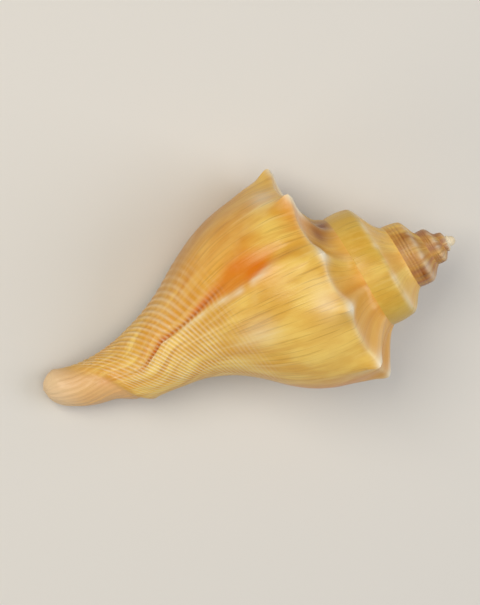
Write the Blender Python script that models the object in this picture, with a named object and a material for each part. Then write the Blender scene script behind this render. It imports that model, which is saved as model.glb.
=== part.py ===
"""Empty shell of a spiral melongena, a right-handed sea snail, lying on its aperture.

The shell is one wall that grew round an axis. Each growth stage is a profile in a half-plane
through that axis: suture, sloping ramp, shoulder with spines, side, waist and siphonal canal.
The outside is a sheet of these profiles, one every ROW_STEP degrees of growth. The room that
the animal lived in and the gutter of the canal are cut out of the closed outside.

Growth angle 0 is the middle of the back, 90 the side of the outer lip, and it rises towards
the lip. Depth is measured from the apex along the axis, radius from the axis, in millimetres.
"""

import math

import bmesh
import bpy
import numpy as np
from mathutils import Matrix, Vector

MM = 0.001

# Growth, in degrees, and the growth of all sizes in one turn
ROW_STEP = 6.0
LIP_ANGLE = 108.0
FIRST_ANGLE = LIP_ANGLE - 340 * ROW_STEP
TURN_GROWTH = 1.78
KNOB_START = 0.4

# Apex to canal tip
LENGTH = 110.0

# Suture and shoulder ridge at each half turn back from the lip side
HALF_TURNS = [90.0 - 180.0 * turn for turn in range(8)]
SUTURE_DEPTHS = (28.7, 22.3, 16.1, 12.4, 8.9, 6.1, 4.5, 2.8)
SUTURE_RADII = (17.1, 13.9, 9.7, 7.8, 5.2, 4.3, 3.2, 2.1)
SHOULDER_DEPTHS = (36.2, 28.2, 21.8, 15.7, 11.4, 8.4, 6.2, 3.8)
SHOULDER_RADII = (32.1, 24.4, 17.3, 12.9, 9.3, 7.5, 5.3, 3.9)

# Spines on the shoulder of the last whorl: growth angle and height above the ridge
SPINES = ((90, 1.7), (54, 1.5), (18, 1.4), (-12, 1.4), (-54, 1.1), (-90, 0.9),
          (-126, 0.8), (-162, 0.7), (-198, 0.6), (-234, 0.5))
SPINE_SPREAD = 8.0
SPINE_REACH = 3.4
RIDGE_SAG = 1.3

# The ramp is hollow near the suture, most on the last half turn
RAMP_POWERS = ((-90.0, 0.65), (90.0, 0.34))
RAMP_DIP = 1.2

# Side of the whorl from shoulder to waist: share of the way, share of the shoulder's radius
SIDE_WAY = (0.0, 0.1, 0.2, 0.3, 0.4, 0.5, 0.56, 0.62, 0.68, 0.75, 0.85, 1.0, 1.2)
SIDE_SHARE = (1.0, 1.0, 0.955, 0.905, 0.82, 0.68, 0.57, 0.44, 0.33, 0.22, 0.11, 0.02, 0.0)
SIDE_BULGE = 0.02
WAIST_DEPTH = 82.1
WAIST_GROWTH = 1.74
LIP_TUCK = 0.075

# Siphonal canal: a thumb bent to the lip side
CANAL_DEPTHS = (84.6, 89.1, 94.4, 98.2, 101.4, 105.5, 107.5, 109.2, 110.0)
CANAL_RADII = (7.8, 6.8, 5.75, 5.5, 5.25, 5.0, 4.1, 2.3, 0.0)
CANAL_BENDS = (0.0, 0.5, 1.5, 1.7, 2.1, 3.5, 4.0, 4.3, 4.7)
CANAL_SCROLL_START = 0.62
CANAL_SCROLL_FULL = -90.0

# Groove left on the back where growth once stopped
SCAR_ANGLE = 30.0
SCAR_DEPTHS = (36.0, 42.0, 70.0, 77.0)
SCAR_HOLLOW = 0.8

# Room of the animal, and the open gutter of the canal
WALL = 2.0
CALLUS = 0.4
ROOM_FRONT = LIP_ANGLE + 9.0
ROOM_BACK = LIP_ANGLE - 243.0
ROOM_BOTTOM_SHARE = 0.95
GUTTER_ANGLE = 122.0
GUTTER_WIDTH = 5.8
GUTTER_DEPTHS = (60.0, 66.0, 72.0, 78.0, 84.0, 90.0, 96.0, 101.0, 105.0, 108.0, 113.0)
GUTTER_FLOORS = (-7.5, -4.5, -1.6, 0.8, 2.2, 2.6, 2.4, 2.0, 1.2, -0.4, -3.0)
GUTTER_HEIGHT = 12.0

# Attitude at rest on a table, in degrees
REST_ROLL = -11.86
REST_PITCH = -11.70

# Columns of the profile
RAMP_SHARES = (0.0, 0.12, 0.34, 0.64, 0.88, 1.0)
UPPER_SIDE_SHARES = (0.2, 0.6, 1.0)
LOWER_SIDE_SHARES = (0.16, 0.32, 0.46, 0.6, 0.74, 0.87, 1.0)
CANAL_SHARES = (0.22, 0.42, 0.6, 0.76, 0.88, 0.94, 0.98)
SUTURE_COLUMN = len(RAMP_SHARES) - 1 + len(UPPER_SIDE_SHARES)


def smooth_between(x, xs, ys):
    """Value at x of a smooth curve through rising xs that never overshoots its points."""
    x = min(max(x, xs[0]), xs[-1])
    slopes = [(ys[i + 1] - ys[i]) / (xs[i + 1] - xs[i]) for i in range(len(xs) - 1)]
    i = min(max(int(np.searchsorted(xs, x, side="right")) - 1, 0), len(xs) - 2)

    def tangent(k):
        if k == 0:
            return slopes[0]
        if k == len(xs) - 1:
            return slopes[-1]
        before, after = slopes[k - 1], slopes[k]
        if before * after <= 0.0:
            return 0.0
        return 2.0 * before * after / (before + after)

    width = xs[i + 1] - xs[i]
    t = (x - xs[i]) / width
    rise = (1 + 2 * t) * (1 - t) ** 2 * ys[i] + t * t * (3 - 2 * t) * ys[i + 1]
    return rise + width * (t * (1 - t) ** 2 * tangent(i) - t * t * (1 - t) * tangent(i + 1))


def step_between(x, low, high):
    """0 below low, 1 above high, smooth between."""
    t = min(max((x - low) / (high - low), 0.0), 1.0)
    return t * t * (3.0 - 2.0 * t)


def grown(angle, values):
    """A size that grows with the shell, through its values at the half turns."""
    angles = HALF_TURNS[::-1]
    logs = [math.log(value) for value in reversed(values)]
    inside = min(max(angle, angles[0]), angles[-1])
    log = smooth_between(inside, angles, logs)
    return math.exp(log + (angle - inside) / 360.0 * math.log(TURN_GROWTH))


def suture(angle):
    """Depth and radius of the seam above this stage, drawn in to the knob at the very start."""
    knob = KNOB_START + (1.0 - KNOB_START) * step_between(angle, FIRST_ANGLE, FIRST_ANGLE + 360.0)
    return knob * grown(angle, SUTURE_DEPTHS), knob * grown(angle, SUTURE_RADII)


def spine_part(angle):
    """Height of the spines at this angle, and how far the ridge sags between two of them."""
    height = 0.0
    for spine_angle, spine_height in SPINES:
        off = abs(angle - spine_angle) / SPINE_SPREAD
        height = max(height, spine_height * math.exp(-off ** 1.3))
    sag = RIDGE_SAG * step_between(angle, -270.0, 0.0) * (1.0 - min(height, 1.0))
    return height, sag


def shoulder(angle, spines=True):
    depth, radius = grown(angle, SHOULDER_DEPTHS), grown(angle, SHOULDER_RADII)
    if spines:
        height, sag = spine_part(angle)
        depth += sag
        radius += height - 0.4 * sag
    return depth, radius


def waist(angle):
    return WAIST_DEPTH * WAIST_GROWTH ** (angle / 360.0)


def canal_radius(angle, depth):
    """Radius of the scroll of the canal about its bent middle line."""
    scroll = CANAL_SCROLL_START
    if angle < LIP_ANGLE - 360.0:
        scroll *= TURN_GROWTH ** ((angle - LIP_ANGLE + 360.0) / 360.0)
    else:
        full = step_between(angle, LIP_ANGLE - 360.0, CANAL_SCROLL_FULL)
        scroll += (1.0 - CANAL_SCROLL_START) * full
    return scroll * smooth_between(depth, CANAL_DEPTHS, CANAL_RADII)


def canal_bend(depth):
    return smooth_between(depth, CANAL_DEPTHS, CANAL_BENDS)


def side_share(angle, depth):
    shoulder_depth = grown(angle, SHOULDER_DEPTHS)
    way = (depth - shoulder_depth) / (waist(angle) - shoulder_depth)
    return smooth_between(way, SIDE_WAY, SIDE_SHARE)


def next_suture(angle):
    """Where the next whorl covers the side, or would cover it on the last whorl."""
    depth = suture(angle + 360.0)[0]
    covered = suture(angle + 360.0)[1]
    base = grown(angle, SHOULDER_RADII)
    canal = canal_radius(angle, depth)
    free = canal + (base - canal) * side_share(angle, depth)
    blend = step_between(angle, LIP_ANGLE - 360.0, -90.0)
    return depth, covered + (free - covered) * blend


def side_radius(angle, depth, spines=False):
    """Radius of the outside below the shoulder ridge."""
    top_depth = grown(angle, SHOULDER_DEPTHS)
    top_radius = grown(angle, SHOULDER_RADII)
    join_depth, join_radius = next_suture(angle)
    if depth <= join_depth:
        t = max((depth - top_depth) / (join_depth - top_depth), 0.0)
        bulge = SIDE_BULGE * top_radius * 4.0 * t * (1.0 - t)
        radius = top_radius + (join_radius - top_radius) * t + bulge
    else:
        canal = canal_radius(angle, depth)
        share = side_share(angle, depth) / side_share(angle, join_depth)
        radius = canal + (join_radius - canal_radius(angle, join_depth)) * share
    share = side_share(angle, depth)
    tuck = LIP_TUCK * step_between(angle, 40.0, LIP_ANGLE)
    radius *= 1.0 - tuck * 4.0 * share * (1.0 - share)
    if spines:
        height, sag = spine_part(angle)
        ridge_depth = top_depth + sag
        reach = math.exp(-((depth - ridge_depth) / SPINE_REACH) ** 2)
        radius += (height - 0.4 * sag) * reach
    return radius


def scar_hollow(angle, depth):
    near = math.exp(-((angle - SCAR_ANGLE) / 5.0) ** 2)
    first, full, last, end = SCAR_DEPTHS
    return SCAR_HOLLOW * near * step_between(depth, first, full) * (1.0 - step_between(depth, last, end))


def place(angle, depth, radius):
    """Point in the shell's own frame: X to the apex, Y to the lip side, Z up off the back."""
    turn = math.radians(angle)
    bend = canal_bend(depth)
    return Vector((-depth, radius * math.sin(turn) + bend, radius * math.cos(turn))) * MM


def ramp_point(angle, share, spines=True):
    start_depth, start_radius = suture(angle)
    end_depth, end_radius = shoulder(angle, spines)
    (low_angle, low_power), (high_angle, high_power) = RAMP_POWERS
    power = low_power + (high_power - low_power) * step_between(angle, low_angle, high_angle)
    depth = start_depth + (end_depth - start_depth) * share ** power
    depth += RAMP_DIP * step_between(angle, 0.0, 90.0) * math.sin(math.pi * share ** 1.6)
    return depth, start_radius + (end_radius - start_radius) * share


def profile(angle, full):
    """Depths and radii of one growth stage, to the next suture or down to the canal tip."""
    points = [ramp_point(angle, share) for share in RAMP_SHARES]
    top_depth = points[-1][0]
    join_depth = next_suture(angle)[0]
    for share in UPPER_SIDE_SHARES:
        depth = top_depth + (join_depth - top_depth) * share
        last = share == 1.0
        points.append((depth, side_radius(angle, depth, spines=not last)))
    if not full:
        points[-1] = suture(angle + 360.0)
        return points
    waist_depth = waist(angle)
    for share in LOWER_SIDE_SHARES:
        depth = join_depth + (waist_depth - join_depth) * share
        points.append((depth, side_radius(angle, depth) - scar_hollow(angle, depth)))
    for share in CANAL_SHARES:
        depth = waist_depth + (LENGTH - waist_depth) * share
        points.append((depth, side_radius(angle, depth)))
    return points


def closed_mesh(name, mesh_points, faces):
    mesh = bpy.data.meshes.new(name)
    mesh.from_pydata(mesh_points, [], faces)
    work = bmesh.new()
    work.from_mesh(mesh)
    bmesh.ops.triangulate(work, faces=work.faces[:], quad_method="SHORT_EDGE")
    bmesh.ops.recalc_face_normals(work, faces=work.faces[:])
    work.to_mesh(mesh)
    work.free()
    item = bpy.data.objects.new(name, mesh)
    bpy.context.scene.collection.objects.link(item)
    return item


def outside():
    """Closed outside of the shell, with a flat face where the lip stands."""
    points = []
    rows = []
    rows_per_turn = round(360.0 / ROW_STEP)
    row_count = round((LIP_ANGLE - FIRST_ANGLE) / ROW_STEP) + 1
    for index in range(row_count):
        angle = FIRST_ANGLE + index * ROW_STEP
        full = index >= row_count - 1 - rows_per_turn
        row = []
        for column, (depth, radius) in enumerate(profile(angle, full)):
            if column == 0 and index >= rows_per_turn:
                row.append(rows[index - rows_per_turn][SUTURE_COLUMN])
                continue
            points.append(place(angle, depth, radius))
            row.append(len(points) - 1)
        rows.append(row)
    apex = len(points)
    points.append(place(0.0, 0.0, 0.0))
    tip = len(points)
    points.append(place(0.0, LENGTH, 0.0))

    faces = []
    for before, after in zip(rows, rows[1:]):
        for column in range(min(len(before), len(after)) - 1):
            faces.append((before[column], before[column + 1], after[column + 1], after[column]))
    last_turn = rows[-rows_per_turn - 1:]
    for before, after in zip(last_turn, last_turn[1:]):
        faces.append((before[-1], tip, after[-1]))
    faces.append(rows[0])
    rim = [row[0] for row in rows[:rows_per_turn + 1]]
    for here, there in zip(rim, rim[1:] + rim[:1]):
        faces.append((apex, here, there))
    lip = rows[-1]
    inner = last_turn[0][SUTURE_COLUMN + 1:]
    faces.append(lip + [tip] + inner[::-1])
    return closed_mesh("shell", points, faces)


def room_section(angle):
    """Ring of depths and radii round the room of the animal at one growth angle."""
    inner_angle = angle - 360.0
    start_depth, start_radius = suture(angle)
    top_radius = grown(angle, SHOULDER_RADII)
    floor = waist(angle) * ROOM_BOTTOM_SHARE
    first_radius = start_radius + 0.14 * (top_radius - start_radius)
    ring = []
    for share in (0.0, 0.35, 0.7, 1.0):
        radius = first_radius + (top_radius - WALL - first_radius) * share
        ramp_share = (radius - start_radius) / (top_radius - start_radius)
        ring.append((ramp_point(angle, ramp_share, spines=False)[0] + WALL, radius))
    top_depth = ring[-1][0]
    for share in (0.12, 0.26, 0.4, 0.54, 0.68, 0.84, 1.0):
        depth = top_depth + (floor - top_depth) * share
        ring.append((depth, side_radius(angle, depth) - WALL))
    corner_depth = ring[0][0] + 1.0
    for share in (1.0, 0.8, 0.6, 0.42, 0.26, 0.12, 0.0):
        depth = corner_depth + (floor - corner_depth) * share
        ring.append((depth, side_radius(inner_angle, depth) + CALLUS))
    return ring


def room():
    count = round((ROOM_FRONT - ROOM_BACK) / ROW_STEP) + 1
    points = []
    faces = []
    for index in range(count):
        angle = ROOM_FRONT - index * ROW_STEP
        ring = room_section(angle)
        points += [place(angle, depth, radius) for depth, radius in ring]
    size = len(points) // count
    for index in range(count - 1):
        for k in range(size):
            a = index * size + k
            b = index * size + (k + 1) % size
            faces.append((a, b, b + size, a + size))
    faces.append(tuple(range(size)))
    faces.append(tuple(range((count - 1) * size, count * size)))
    return closed_mesh("room", points, faces)


def gutter():
    """Open channel of the canal, a U that faces away from the back."""
    turn = math.radians(GUTTER_ANGLE)
    out = Vector((0.0, math.sin(turn), math.cos(turn)))
    across = Vector((0.0, math.cos(turn), -math.sin(turn)))
    half = GUTTER_WIDTH / 2.0
    outline = [(half, GUTTER_HEIGHT)]
    for step in range(7):
        bow = math.radians(step * 30.0)
        outline.append((half * math.cos(bow), half - half * math.sin(bow)))
    outline.append((-half, GUTTER_HEIGHT))
    points = []
    for depth, floor in zip(GUTTER_DEPTHS, GUTTER_FLOORS):
        middle = Vector((-depth, canal_bend(depth), 0.0))
        points += [(middle + across * p + out * (q - floor)) * MM for p, q in outline]
    size = len(outline)
    faces = [tuple(range(size)), tuple(range(len(points) - size, len(points)))]
    for index in range(len(GUTTER_DEPTHS) - 1):
        for k in range(size):
            a = index * size + k
            b = index * size + (k + 1) % size
            faces.append((a, b, b + size, a + size))
    return closed_mesh("gutter", points, faces)


def cut(target, cutter):
    modifier = target.modifiers.new(cutter.name, "BOOLEAN")
    modifier.operation = "DIFFERENCE"
    modifier.solver = "EXACT"
    modifier.object = cutter
    bpy.context.view_layer.objects.active = target
    bpy.ops.object.modifier_apply(modifier=modifier.name)
    bpy.data.objects.remove(cutter)


def lay_down(item):
    """Turn the shell to its attitude at rest and stand its box on the origin."""
    turn = (Matrix.Rotation(math.radians(REST_PITCH), 4, "Y")
            @ Matrix.Rotation(math.radians(REST_ROLL), 4, "X"))
    item.data.transform(turn)
    spots = np.array([vertex.co[:] for vertex in item.data.vertices])
    low, high = spots.min(axis=0), spots.max(axis=0)
    middle = (low + high) / 2.0
    item.data.transform(Matrix.Translation((-middle[0], -middle[1], -low[2])))


def shell_material():
    material = bpy.data.materials.new("ochre shell")
    material.use_nodes = True
    shader = material.node_tree.nodes["Principled BSDF"]
    shader.inputs["Base Color"].default_value = (0.68, 0.42, 0.12, 1.0)
    shader.inputs["Roughness"].default_value = 0.4
    shader.inputs["Metallic"].default_value = 0.0
    return material


def main():
    for item in list(bpy.data.objects):
        bpy.data.objects.remove(item)
    shell = outside()
    cut(shell, room())
    cut(shell, gutter())
    lay_down(shell)
    shell.data.materials.clear()
    shell.data.materials.append(shell_material())
    shell.data.shade_smooth()


main()
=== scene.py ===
# %% [markdown]
# # The empty shell of a spiral melongena
#
# A sea snail builds its shell at one edge only, the lip. The lip moves round an axis and
# grows as it goes, so every line on the finished shell is an old lip: the growth lines that
# run from the seam to the canal, the spines on the shoulder, and the orange groove on the
# back, where the snail once stopped for a while. This script follows the animal. It makes the
# wall as a grid that is rolled up by the rule of growth, cuts the room and the open canal out
# of it, and then paints the wall along the same lines.

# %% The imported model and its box
import math

import bmesh
import bpy
import numpy as np
from mathutils import Matrix, Vector


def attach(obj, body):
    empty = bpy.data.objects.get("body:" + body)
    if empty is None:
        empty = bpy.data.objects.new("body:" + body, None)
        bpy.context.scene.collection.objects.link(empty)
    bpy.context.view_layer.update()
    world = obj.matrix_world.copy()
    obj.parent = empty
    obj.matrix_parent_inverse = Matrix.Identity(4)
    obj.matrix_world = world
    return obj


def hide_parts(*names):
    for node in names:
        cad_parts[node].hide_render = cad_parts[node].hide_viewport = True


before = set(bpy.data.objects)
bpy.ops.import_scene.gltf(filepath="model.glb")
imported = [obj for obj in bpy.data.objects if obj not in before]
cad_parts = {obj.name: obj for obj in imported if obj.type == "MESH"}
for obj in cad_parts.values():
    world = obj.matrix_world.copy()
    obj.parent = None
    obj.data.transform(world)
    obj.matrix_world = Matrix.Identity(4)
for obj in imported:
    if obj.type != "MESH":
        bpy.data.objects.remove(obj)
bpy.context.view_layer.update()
cad_shell = bpy.data.objects["shell"]

# %% [markdown]
# The whole script measures the shell in three numbers: the growth angle, in degrees round the
# axis, the depth below the apex along the axis, and the radius from the axis, in millimetres.
# Angle 0 is the middle of the back, 90 the side of the outer lip, and one turn back is 360
# less. The values are the real shell's, worked out from the photograph at 0.251 mm per pixel.

# %% Sizes of the shell
MM = 0.001
TURN = 360.0
LIP_ANGLE = 108.0
FIRST_ANGLE = LIP_ANGLE - 2040.0
LAST_TURN = LIP_ANGLE - TURN
TURN_GROWTH = 1.78
KNOB_START = 0.4
LENGTH = 110.0

HALF_TURNS = [90.0 - 180.0 * turn for turn in range(8)]
SUTURE_DEPTHS = (28.7, 22.3, 16.1, 12.4, 8.9, 6.1, 4.5, 2.8)
SUTURE_RADII = (17.1, 13.9, 9.7, 7.8, 5.2, 4.3, 3.2, 2.1)
SHOULDER_DEPTHS = (36.2, 28.2, 21.8, 15.7, 11.4, 8.4, 6.2, 3.8)
SHOULDER_RADII = (32.1, 24.4, 17.3, 12.9, 9.3, 7.5, 5.3, 3.9)

SPINES = ((90, 1.7), (54, 1.5), (18, 1.4), (-12, 1.4), (-54, 1.1), (-90, 0.9),
          (-126, 0.8), (-162, 0.7), (-198, 0.6), (-234, 0.5))
SPINE_SPREAD = 8.0
SPINE_REACH = 3.4
RIDGE_SAG = 1.3
RIDGE_DIP = 1.5
RAMP_DIP = 1.2

SIDE_WAY = (0.0, 0.1, 0.2, 0.3, 0.4, 0.5, 0.56, 0.62, 0.68, 0.75, 0.85, 1.0, 1.2)
SIDE_SHARE = (1.0, 1.0, 0.955, 0.905, 0.82, 0.68, 0.57, 0.44, 0.33, 0.22, 0.11, 0.02, 0.0)
SIDE_BULGE = 0.02
WAIST_DEPTH = 82.1
WAIST_GROWTH = 1.74
LIP_TUCK = 0.075

CANAL_DEPTHS = (84.6, 89.1, 94.4, 98.2, 101.4, 105.5, 107.5, 109.2, 110.0)
CANAL_RADII = (7.8, 6.8, 5.75, 5.5, 5.25, 5.0, 4.1, 2.3, 0.0)
CANAL_BENDS = (0.0, 0.5, 1.5, 1.7, 2.1, 3.5, 4.0, 4.3, 4.7)
CANAL_SCROLL_START = 0.62
CANAL_SCROLL_FULL = -90.0

# Attitude at rest on the table
REST_ROLL = -11.86
REST_PITCH = -11.70
print("turns of the shell:", round((LIP_ANGLE - FIRST_ANGLE) / TURN, 2))

# %% [markdown]
# Nature has no corners in a growth curve, so each row of measures becomes a smooth curve. It
# goes through the measures without overshooting, and a little blur takes out the sudden
# changes of bend that a glossy surface would show as bands.


# %% Smooth curves and soft ripples
def curve_through(xs, ys, blur=0.0):
    """A function that follows a smooth curve through points with rising xs."""
    xs, ys = np.array(xs, float), np.array(ys, float)
    slopes = np.diff(ys) / np.diff(xs)
    tangents = np.concatenate(([slopes[0]], np.zeros(len(xs) - 2), [slopes[-1]]))
    before, after = slopes[:-1], slopes[1:]
    same = before * after > 0.0
    tangents[1:-1][same] = 2.0 * before[same] * after[same] / (before[same] + after[same])
    dense = np.linspace(xs[0], xs[-1], 4001)
    i = np.clip(np.searchsorted(xs, dense, side="right") - 1, 0, len(xs) - 2)
    width = xs[i + 1] - xs[i]
    t = (dense - xs[i]) / width
    value = (1 + 2 * t) * (1 - t) ** 2 * ys[i] + t * t * (3 - 2 * t) * ys[i + 1]
    value += width * (t * (1 - t) ** 2 * tangents[i] - t * t * (1 - t) * tangents[i + 1])
    if blur:
        step = dense[1] - dense[0]
        reach = int(3.0 * blur / step)
        kernel = np.exp(-0.5 * (np.arange(-reach, reach + 1) * step / blur) ** 2)
        longer = np.pad(value, reach, mode="reflect", reflect_type="odd")
        value = np.convolve(longer, kernel / kernel.sum(), mode="valid")
    return lambda x: np.interp(x, dense, value)


def step_between(x, low, high):
    """0 below low, 1 above high, smooth between."""
    t = np.clip((x - low) / (high - low), 0.0, 1.0)
    return t * t * (3.0 - 2.0 * t)


def bump_at(x, middle, width):
    """A smooth hill of height 1."""
    return np.exp(-((x - middle) / width) ** 2)


def ripple(x, seed):
    """Soft chance ripple between -1 and 1, with one value for each whole number."""
    values = np.random.default_rng(seed).uniform(-1.0, 1.0, 1024)
    cell = np.floor(x).astype(int)
    t = x - cell
    t = t * t * (3.0 - 2.0 * t)
    return values[cell % 1024] * (1.0 - t) + values[(cell + 1) % 1024] * t


def mottle(x, y, seed):
    """The same in two directions."""
    values = np.random.default_rng(seed).uniform(-1.0, 1.0, (128, 128))
    i, j = np.floor(x).astype(int), np.floor(y).astype(int)
    s, t = x - i, y - j
    s, t = s * s * (3.0 - 2.0 * s), t * t * (3.0 - 2.0 * t)
    low = values[i % 128, j % 128] * (1 - s) + values[(i + 1) % 128, j % 128] * s
    high = values[i % 128, (j + 1) % 128] * (1 - s) + values[(i + 1) % 128, (j + 1) % 128] * s
    return low * (1 - t) + high * t


print("a ripple:", np.round(ripple(np.linspace(0.0, 3.0, 4), 1), 2))

# %% [markdown]
# One growth stage is a profile in a half-plane through the axis: from the seam, or suture, up
# a hollow ramp to the shoulder, down the side to the waist, and along the canal. All of it
# grows with the angle. The functions below give each stretch for whole arrays of angles.

# %% The rule of growth
TURN_BLUR = 22.0
suture_depth_log = curve_through(HALF_TURNS[::-1], np.log(SUTURE_DEPTHS[::-1]), TURN_BLUR)
suture_radius_log = curve_through(HALF_TURNS[::-1], np.log(SUTURE_RADII[::-1]), TURN_BLUR)
shoulder_depth_log = curve_through(HALF_TURNS[::-1], np.log(SHOULDER_DEPTHS[::-1]), TURN_BLUR)
shoulder_radius_log = curve_through(HALF_TURNS[::-1], np.log(SHOULDER_RADII[::-1]), TURN_BLUR)
SIDE_BLUR = 0.025
side_curve = curve_through(SIDE_WAY, SIDE_SHARE, SIDE_BLUR)
canal_curve = curve_through(CANAL_DEPTHS, CANAL_RADII)
bend_curve = curve_through(CANAL_DEPTHS, CANAL_BENDS)


def grown(angle, log_curve):
    """A size that grows with the shell, carried on at the shell's own rate past its measures."""
    inside = np.clip(angle, HALF_TURNS[-1], HALF_TURNS[0])
    return np.exp(log_curve(inside) + (angle - inside) / TURN * math.log(TURN_GROWTH))


def suture(angle):
    knob = KNOB_START + (1.0 - KNOB_START) * step_between(angle, FIRST_ANGLE, FIRST_ANGLE + TURN)
    return knob ** 1.5 * grown(angle, suture_depth_log), knob * grown(angle, suture_radius_log)


SPINE_STRETCH = 1.3
SPINE_SHARPNESS = 2.4


def spine_height(angle):
    """Height of the spines in mm. They are taller and sharper here than in the solids."""
    height = np.zeros_like(angle)
    for spine_angle, tall in SPINES:
        off = np.abs(angle - spine_angle) / SPINE_SPREAD
        height = np.maximum(height, SPINE_STRETCH * tall * np.exp(-SPINE_SHARPNESS * off ** 1.1))
    return height


def between_spines(angle):
    """1 half way between two spines of the last turn, 0 at each of them."""
    near = np.zeros_like(angle)
    for spine_angle, _ in SPINES:
        near = np.maximum(near, bump_at(angle, spine_angle, SPINE_SPREAD))
    return (1.0 - near) * step_between(angle, LAST_TURN, 0.0)


def waist(angle):
    return WAIST_DEPTH * WAIST_GROWTH ** (angle / TURN)


def canal_radius(angle, depth):
    scroll = CANAL_SCROLL_START + (1.0 - CANAL_SCROLL_START) * step_between(
        angle, LAST_TURN, CANAL_SCROLL_FULL)
    scroll = scroll * TURN_GROWTH ** (np.minimum(angle - LAST_TURN, 0.0) / TURN)
    return scroll * canal_curve(depth)


def side_share(angle, depth):
    top = grown(angle, shoulder_depth_log)
    return side_curve((depth - top) / (waist(angle) - top))


print("shoulder at the lip side, mm:", round(float(grown(np.array(90.0), shoulder_radius_log)), 1))


# %% Profiles of the outside
RAMP_POWER_FIRST = 1.2
RAMP_POWER_OLD = 0.65
RAMP_POWER_NEW = 0.34


def ramp_at(angle, share, spines=1.0):
    """Depth and radius on the ramp between the seam, share 0, and the shoulder, share 1."""
    start_depth, start_radius = suture(angle)
    low = between_spines(angle)
    end_depth = grown(angle, shoulder_depth_log) + RIDGE_SAG * low
    end_radius = grown(angle, shoulder_radius_log) + spine_height(angle) * spines - RIDGE_DIP * low
    power = RAMP_POWER_OLD + (RAMP_POWER_NEW - RAMP_POWER_OLD) * step_between(angle, -90.0, 90.0)
    power = power + (RAMP_POWER_FIRST - power) * step_between(-angle, -FIRST_ANGLE - 540.0,
                                                              -FIRST_ANGLE - 180.0)
    depth = start_depth + (end_depth - start_depth) * share ** power
    depth = depth + RAMP_DIP * step_between(angle, 0.0, 90.0) * np.sin(np.pi * share ** 1.6)
    return depth, start_radius + (end_radius - start_radius) * share


def side_at(angle, depth, spines=1.0):
    """Radius of the outside below the shoulder."""
    top_depth, top_radius = grown(angle, shoulder_depth_log), grown(angle, shoulder_radius_log)
    join_depth, join_radius = suture(angle + TURN)
    canal = canal_radius(angle, depth)
    share = side_share(angle, depth)
    free = canal + (top_radius - canal) * share
    t = np.clip((depth - top_depth) / (join_depth - top_depth), 0.0, 1.0)
    above = top_radius + (join_radius - top_radius) * t
    above = above + SIDE_BULGE * top_radius * 4.0 * t * (1.0 - t)
    join_canal = canal_radius(angle, join_depth)
    below = canal + (join_radius - join_canal) * share / side_share(angle, join_depth)
    covered = np.where(depth <= join_depth, above, below)
    blend = step_between(angle, LAST_TURN, CANAL_SCROLL_FULL)
    radius = covered + (free - covered) * blend
    tuck = LIP_TUCK * step_between(angle, 40.0, LIP_ANGLE)
    radius = radius * (1.0 - tuck * 4.0 * share * (1.0 - share))
    low = between_spines(angle)
    spine_reach = bump_at(depth, top_depth + RIDGE_SAG * low, SPINE_REACH)
    dip_reach = bump_at(depth, top_depth + RIDGE_SAG * low, 2.2 * SPINE_REACH)
    return radius + spine_height(angle) * spine_reach * spines - RIDGE_DIP * low * dip_reach


def place(angle, depth, radius):
    """Points in the shell's own frame, in mm: X to the apex, Y to the lip side, Z off the back."""
    turn = np.radians(angle)
    return np.stack([-depth, radius * np.sin(turn) + bend_curve(depth), radius * np.cos(turn)], -1)


print("waist at the lip side, mm:", round(float(waist(90.0)), 1))

# %% [markdown]
# The frame gives the attitude: the shell lies on its mouth, on the tip of the canal, a spine
# and the edge of the lip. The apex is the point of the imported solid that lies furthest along
# +X, so one look at it says where the shell's own frame sits.

# %% From the shell's own frame to the table
apex_spot = max((vertex.co for vertex in cad_shell.data.vertices), key=lambda spot: spot.x).copy()
to_table = (Matrix.Translation(apex_spot) @ Matrix.Rotation(math.radians(REST_PITCH), 4, "Y")
            @ Matrix.Rotation(math.radians(REST_ROLL), 4, "X") @ Matrix.Scale(MM, 4))
print("apex at", [round(v * 1000.0, 2) for v in apex_spot], "mm")

# %% [markdown]
# The relief is a height in millimetres, added along the wall's own normal. Growth lines follow
# the old lips: nearly straight down the side, bending back round the canal. Spiral cords cross
# them near the waist, coarse on the new side of the groove and fine on the old side. The
# fasciole is the band that the old ends of the canal left round it.

# %% Where the old lips run
SCAR_ANGLES = curve_through((34.0, 60.0, 77.0, 81.0, 84.6, 90.0),
                            (30.0, 30.0, 29.0, 16.0, 1.0, -20.0))
FASCIOLE_DEPTHS = curve_through((-252.0, -180.0, -90.0, 0.0, 90.0, 108.0),
                                (70.0, 78.0, 86.6, 93.9, 103.7, 105.6))
SCAR_TOP = 34.5


def lip_line(angle, depth):
    """Growth angle of the old lip that passes through a point."""
    past = depth / waist(angle)
    return angle + 34.0 * step_between(past, 0.87, 1.06) + 50.0 * step_between(past, 1.05, 1.5)


def off_scar(angle, depth):
    """Degrees from the groove, positive on the new side."""
    return angle - SCAR_ANGLES(depth)


def rim_off(depth):
    """Degrees from the groove to the old lip's rim."""
    return -4.5 - 5.0 * bump_at(depth, 55.0, 9.0)


print("the groove at 80 mm depth lies at", round(float(SCAR_ANGLES(80.0)), 1), "degrees")


# %% Heights of the relief
def spot(angle, depth, at_angle, at_depth, wide, tall):
    return np.exp(-((angle - at_angle) / wide) ** 2 - ((depth - at_depth) / tall) ** 2)


# The ridges lie a whole number of rows of the mesh apart. In the photo the coarse ones measure
# about 1.7 mm apart. The fine ones are near 1 mm, which is less sure.
LOWER_ROWS = 171
COARSE_CORDS = 7.0 / LOWER_ROWS
FINE_CORDS = 5.0 / LOWER_ROWS
COARSE_HEIGHT = 0.30
FINE_HEIGHT = 0.16


def way_down(angle, depth):
    """0 at the shoulder and 1 at the waist."""
    top = grown(angle, shoulder_depth_log)
    return (depth - top) / (waist(angle) - top)


def cord_way(angle, depth):
    """0 at the lower seam and 1 at the waist. The cords run at steps of it."""
    seam = suture(angle + TURN)[0]
    return (depth - seam) / (waist(angle) - seam)


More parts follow.
